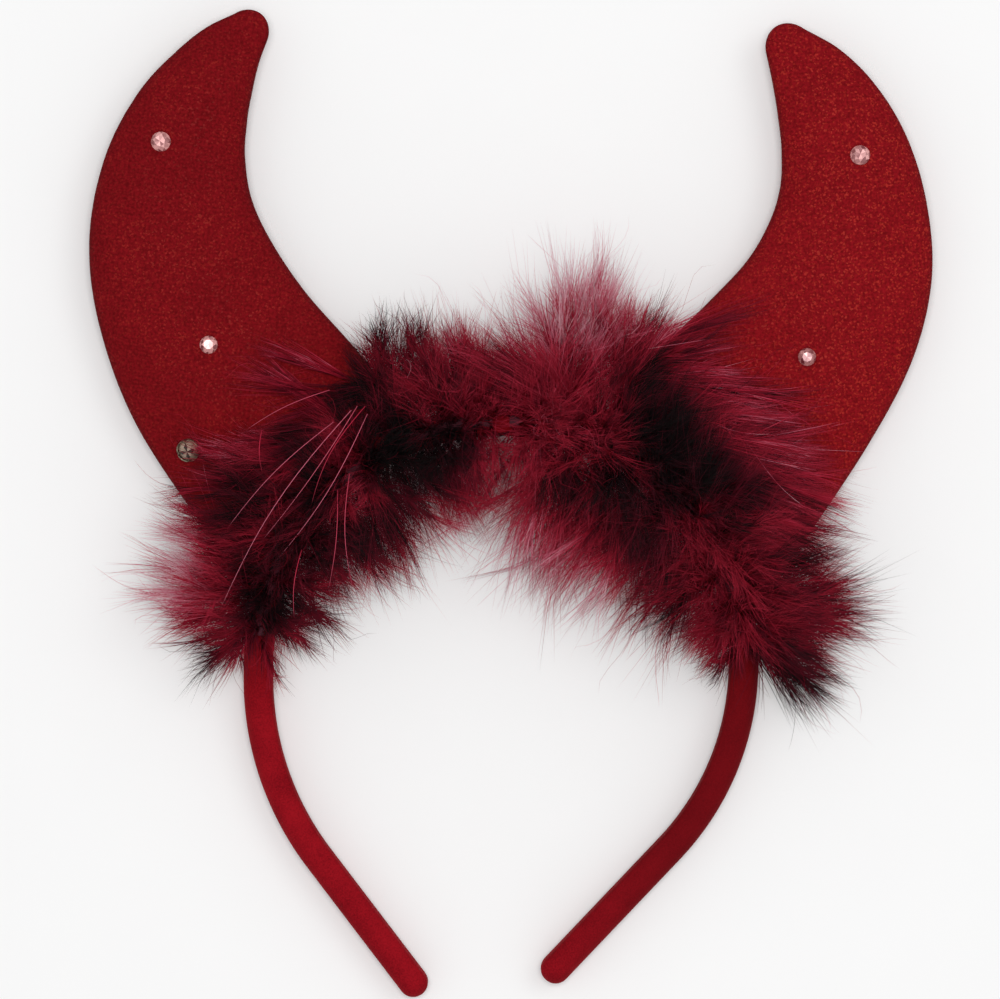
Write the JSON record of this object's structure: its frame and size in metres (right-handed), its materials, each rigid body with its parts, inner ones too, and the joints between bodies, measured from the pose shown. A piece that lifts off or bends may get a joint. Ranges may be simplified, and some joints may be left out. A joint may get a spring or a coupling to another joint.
{
  "type": "devil horns headband",
  "caption": "Springy velvet-covered headband with stuffed glittery devil horns, faceted stones and a fluffy feather trim over the crown.",
  "frame": {"origin": "middle of the underside of the whole thing's box, on the surface that it lies on", "axes": "+X to the right as seen from the front, +Y from the legs' tips to the horns' tips, +Z from the back to the front"},
  "size_m": [0.215, 0.2522, 0.045],
  "materials": {
    "velvet": "short pile velvet, matt with a soft sheen",
    "horn_plush": "glittery plush with fine sparks",
    "stone": "faceted and foiled at the back",
    "feather": "down feathers, wine red with black and pink tips"
  },
  "bodies": {
    "root": {"headband": "velvet", "horn_left": "horn_plush", "horn_right": "horn_plush", "stone_left_top": "stone", "stone_left_middle": "stone", "stone_left_low": "stone", "stone_right_top": "stone", "stone_right_middle": "stone", "feather_trim_left": "feather", "feather_trim_right": "feather"}
  },
  "joints": []
}
